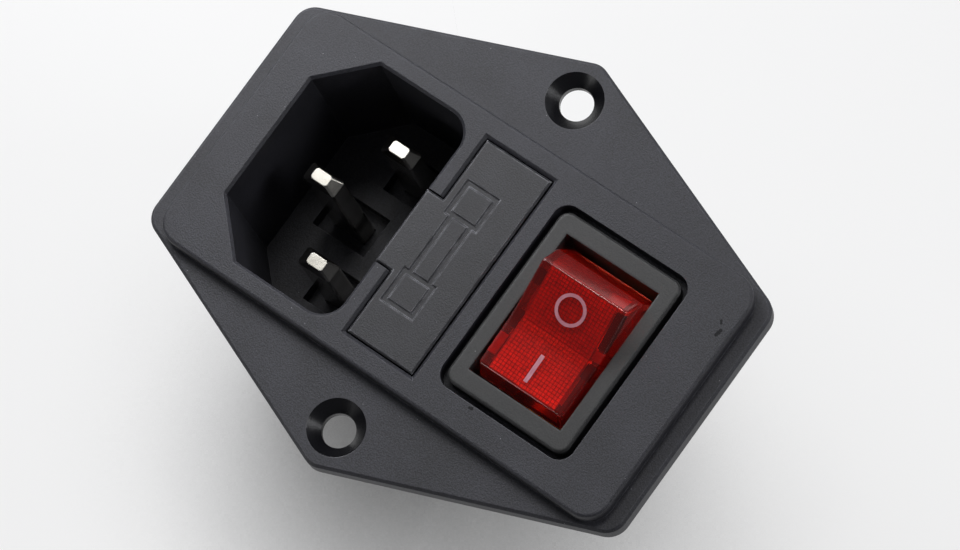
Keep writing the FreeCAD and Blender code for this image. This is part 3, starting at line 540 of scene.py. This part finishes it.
# moulded, printed or lacquered in one colour: plain, with a soft mottle
def softPlastic(name, dark, light, roughness, shine=plainLook["shine"]):
    look = plainLook
    material, tree, shader = newMaterial(name, {"IOR": look["ior"], "Roughness": roughness,
                                                "Specular IOR Level": shine})
    coords = addNode(tree, "TexCoord").outputs["Object"]
    mottle = addNode(tree, "TexNoise",
                     {"Scale": perMm(look["mottle"]), "Detail": look["mottleDetail"]},
                     {"Vector": coords})
    darkStop, lightStop = look["toneStops"]
    tone = addNode(tree, "ValToRGB", links={"Fac": mottle.outputs["Fac"]},
                   stops=((darkStop, dark), (lightStop, light)))
    linkInto(tree, shader, {"Base Color": tone.outputs["Color"]})
    return material


buried = plainLook["buriedShine"]
materials = {
    "nylon": mouldedBlack("glassFilledNylonSparkEroded", finishes["nylon"]),
    "drawer": mouldedBlack("glassFilledNylonEdgeWearAndHighlight", finishes["drawer"]),
    "bezel": mouldedBlack("nylonFineMattMoulded", finishes["bezel"]),
    "red": clearRed("polycarbonateRedPolished", clearRedLook),
    "prism": prismRed("polycarbonateRedPrismPaintedLight",
                      prismLook["cellPaintedLightTones"], prismLook["cellRoughness"]),
    "prismEdge": prismRed("polycarbonateRedPrismEdgePaintedLight",
                          prismLook["linePaintedLightTones"], prismLook["lineRoughness"]),
    # lit and shaded copies of one red polycarbonate for the lugs: painted light and painted shade
    "lugLit": softPlastic("polycarbonateRedPaintedLight", "#7c100a", "#961a10", 0.3, buried),
    "lug": softPlastic("polycarbonateRedShaded", "#150101", "#220303", 0.4, buried),
    "ink": softPlastic("inkWhitePadPrinted", "#b0717c", "#bc808a", 0.5),  # thin: the red shows
    "pin": platedMetal("brassNickelPlated", "#c4c1b9", "#a5a197", 0.18),
    "strip": platedMetal("brassRolledStrip", "#c9a65c", "#a98543", 0.34),
    "cap": platedMetal("brassCapNickelPlated", "#d9d7d0", "#bdb9ae", 0.26, linesAlongX),
    "silver": platedMetal("silverAlloyPressed", "#dedede", "#b9b9b7", 0.32),
    "spring": platedMetal("springSteelDrawn", "#a9a9a8", "#8b8b89", 0.3),
    "wire": platedMetal("copperWireTinned", "#cfcfca", "#b3b2ab", 0.35, linesAlongX),
    "glass": clearGlass("sodaLimeGlassDrawn", glassLook),
    "acetal": softPlastic("acetalMoulded", "#d9d7cf", "#e6e4dd", 0.4),
    "resistor": softPlastic("carbonFilmLacquered", "#b7915c", "#c9a671", 0.3),
}
# the CAD nodes that have each finish
wearers = {
    "nylon": ("housing",),
    "drawer": ("fuse_drawer",),
    "bezel": ("switch_frame",),
    "red": ("rocker",),
    "pin": ("line_pin", "neutral_pin", "earth_pin"),
    "strip": ("fuse_contact_line", "fuse_contact_load", "contact_lever", "terminal_common",
              "terminal_load", "terminal_lamp"),
    "cap": ("fuse_cap_line", "fuse_cap_load"),
    "silver": ("moving_contact", "fixed_contact"),
    "spring": ("plunger_spring",),
    "wire": ("fuse_wire", "lamp_lead", "lamp_link", "resistor_lead"),
    "glass": ("fuse_glass", "neon_lamp"),
    "acetal": ("contact_plunger",),
    "resistor": ("lamp_resistor",),
}
for finish, nodeNames in wearers.items():
    for nodeName in nodeNames:
        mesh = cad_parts[nodeName].data
        mesh.materials.clear()
        mesh.materials.append(materials[finish])
print("finishes set")

joinWithin = 0.002  # corners of neighbouring triangles that are this close become one


# copy of a CAD node with its triangles joined and its rounds smooth
def smoothCopy(nodeName, pieceName, angle, body):
    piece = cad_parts[nodeName].copy()
    piece.data = piece.data.copy()
    piece.name = pieceName
    bpy.context.scene.collection.objects.link(piece)
    selectOnly(piece)
    editAll()
    bpy.ops.mesh.remove_doubles(threshold=joinWithin * mm)
    bpy.ops.object.mode_set(mode="OBJECT")
    bpy.ops.object.shade_smooth_by_angle(angle=math.radians(angle))
    applyModifier(piece, "WEIGHTED_NORMAL", {"keep_sharp": True})  # flats stay flat beside rounds
    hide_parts(nodeName)
    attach(piece, body)
    return piece


# rocker: clear shell, prism grid and lugs under its top, dark ones as painted shade and lit ones
# as painted light, and the two printed signs
rockerLook = {
    "smoothAngle": 17,
    "pivot": (0.0, -13.45, 0.1),
    "tilt": 14.0,          # at rest, with the I end down
    "valley": 4.6,         # height of the top's middle above the pivot
    "topSlope": 10.0,      # rise of each half of the top
    "gridTop": 4.15,       # middle of the grid, in the top wall
    "gridSlope": 10.0,
    "gridCells": (15, 20),  # on each half, along the rocker and across it
    "gridCell": 0.39,
    "gridLine": 0.04,      # half of the line between two cells
    "gridDepth": 0.07,
    "gridThick": 0.12,
    "gridGap": 0.02,       # from the middle of the valley
    "ringPlace": 3.1,
    "ringRadius": 1.66,
    "ringStroke": 0.35,
    "ringSides": 72,
    "barPlace": 3.55,
    "barSize": (3.1, 0.44),
    "barRound": 0.06,
    "barRoundSteps": 3,
    "printThick": 0.03,
    "printLift": 0.01,
    "lugPlace": 4.5,       # from the middle to the side walls, where the lugs lie
    "lugSize": (0.85, 0.5),
    "lugDrop": 0.75,
    "lugRound": 0.15,
    "lugRoundSteps": 2,
    "lugs": (              # place along the rocker, side, length and finish, "lug" being painted shade and "lugLit" painted light
        (4.25, 1, 1.7, "lug"), (-0.5, 1, 2.0, "lug"), (-3.5, 1, 2.4, "lugLit"),
        (3.5, -1, 4.2, "lug"), (0.7, -1, 1.1, "lugLit"), (-1.1, -1, 1.7, "lug"),
    ),
}


# from the rocker's own frame to its place and tilt at rest
def settleOnRocker(piece):
    look = rockerLook
    piece.rotation_euler = (0, -math.radians(look["tilt"]), 0)
    piece.location = Vector(look["pivot"]) * mm
    bakePlace(piece)
    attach(piece, "rocker")


# lays a piece along its half of the top, lifted off it or sunk under it
def layOnTop(piece, x, y, lift, finish, look):
    slope = math.radians(look["topSlope"])
    piece.rotation_euler = (0, -math.copysign(slope, x), 0)
    height = look["valley"] + lift + abs(x) * math.tan(slope)
    piece.location = Vector((x, y, height)) * mm
    bakePlace(piece)
    piece.data.materials.append(materials[finish])
    settleOnRocker(piece)


def makeGrid(look):
    bpy.ops.object.select_all(action="DESELECT")
    along, across = look["gridCells"]
    cell = look["gridCell"] * mm
    bpy.ops.mesh.primitive_grid_add(x_subdivisions=along, y_subdivisions=across, size=1)
    grid = bpy.context.object
    grid.name = "rockerPrismGrid"
    grid.scale = (along * cell, across * cell, 1)
    grid.location.x = along * cell / 2 + look["gridGap"] * mm
    bakePlace(grid)
    grid.data.materials.append(materials["prism"])
    grid.data.materials.append(materials["prismEdge"])
    editAll()
    bpy.ops.mesh.inset(thickness=look["gridLine"] * mm, depth=-look["gridDepth"] * mm,
                       use_individual=True)
    bpy.ops.mesh.select_all(action="INVERT")  # the lines between the cells
    grid.active_material_index = 1
    bpy.ops.object.material_slot_assign()
    bpy.ops.object.mode_set(mode="OBJECT")
    applyModifier(grid, "SOLIDIFY", {"thickness": look["gridThick"] * mm, "offset": -1.0})
    grid.rotation_euler = (0, -math.radians(look["gridSlope"]), 0)
    grid.location.z = look["gridTop"] * mm
    bakePlace(grid)
    # the halves stay apart, because merging would close up cells this small
    applyModifier(grid, "MIRROR", {"use_axis": (True, False, False), "use_mirror_merge": False})
    settleOnRocker(grid)


def makeRing(look):
    bpy.ops.object.select_all(action="DESELECT")
    bpy.ops.mesh.primitive_circle_add(vertices=look["ringSides"], radius=look["ringRadius"] * mm,
                                      fill_type="NGON")
    ring = bpy.context.object
    ring.name = "rockerSignO"
    editAll()
    bpy.ops.mesh.inset(thickness=look["ringStroke"] * mm)
    bpy.ops.mesh.delete(type="FACE")
    bpy.ops.object.mode_set(mode="OBJECT")
    applyModifier(ring, "SOLIDIFY", {"thickness": look["printThick"] * mm, "offset": 1.0})
    layOnTop(ring, look["ringPlace"], 0, look["printLift"], "ink", look)


def makeBar(look):
    bpy.ops.object.select_all(action="DESELECT")
    bpy.ops.mesh.primitive_plane_add(size=1)
    bar = bpy.context.object
    bar.name = "rockerSignI"
    length, width = look["barSize"]
    bar.scale = (length * mm, width * mm, 1)
    bakePlace(bar)
    editAll()
    bpy.ops.mesh.bevel(offset=look["barRound"] * mm, segments=look["barRoundSteps"],
                       affect="VERTICES")
    bpy.ops.object.mode_set(mode="OBJECT")
    applyModifier(bar, "SOLIDIFY", {"thickness": look["printThick"] * mm, "offset": 1.0})
    layOnTop(bar, -look["barPlace"], 0, look["printLift"], "ink", look)


# a block under the top by a side wall: painted shade in its dark finish, painted light in its lit
# one
def makeLug(look, number, x, side, length, finish):
    bpy.ops.object.select_all(action="DESELECT")
    bpy.ops.mesh.primitive_cube_add(size=1)
    lug = bpy.context.object
    lug.name = "rockerLug%d" % number
    width, height = look["lugSize"]
    lug.scale = (length * mm, width * mm, height * mm)
    bakePlace(lug)
    editAll()
    bpy.ops.mesh.bevel(offset=look["lugRound"] * mm, segments=look["lugRoundSteps"],
                       affect="EDGES")
    bpy.ops.object.mode_set(mode="OBJECT")
    layOnTop(lug, x, side * look["lugPlace"], -look["lugDrop"], finish, look)


shell = smoothCopy("rocker", "rockerShell", rockerLook["smoothAngle"], "rocker")
shell.visible_shadow = False  # clear: light goes through to the grid
makeGrid(rockerLook)
for number, lug in enumerate(rockerLook["lugs"]):
    makeLug(rockerLook, number + 1, *lug)
makeRing(rockerLook)
makeBar(rockerLook)
print("rocker made")

# the fuse and the lamp get smooth rounds
roundLook = {
    "smoothAngle": 30,
    "copies": (  # CAD node, piece, body and material slot
        ("fuse_glass", "fuseTube", "drawer", "clear_glass"),
        ("fuse_cap_line", "fuseCapLine", "drawer", "plated_cap"),
        ("fuse_cap_load", "fuseCapLoad", "drawer", "plated_cap"),
        ("neon_lamp", "neonBulb", "module", "clear_glass"),
    ),
}
for nodeName, pieceName, body, slot in roundLook["copies"]:
    smoothCopy(nodeName, pieceName, roundLook["smoothAngle"], body)
print("fuse and lamp smoothed")
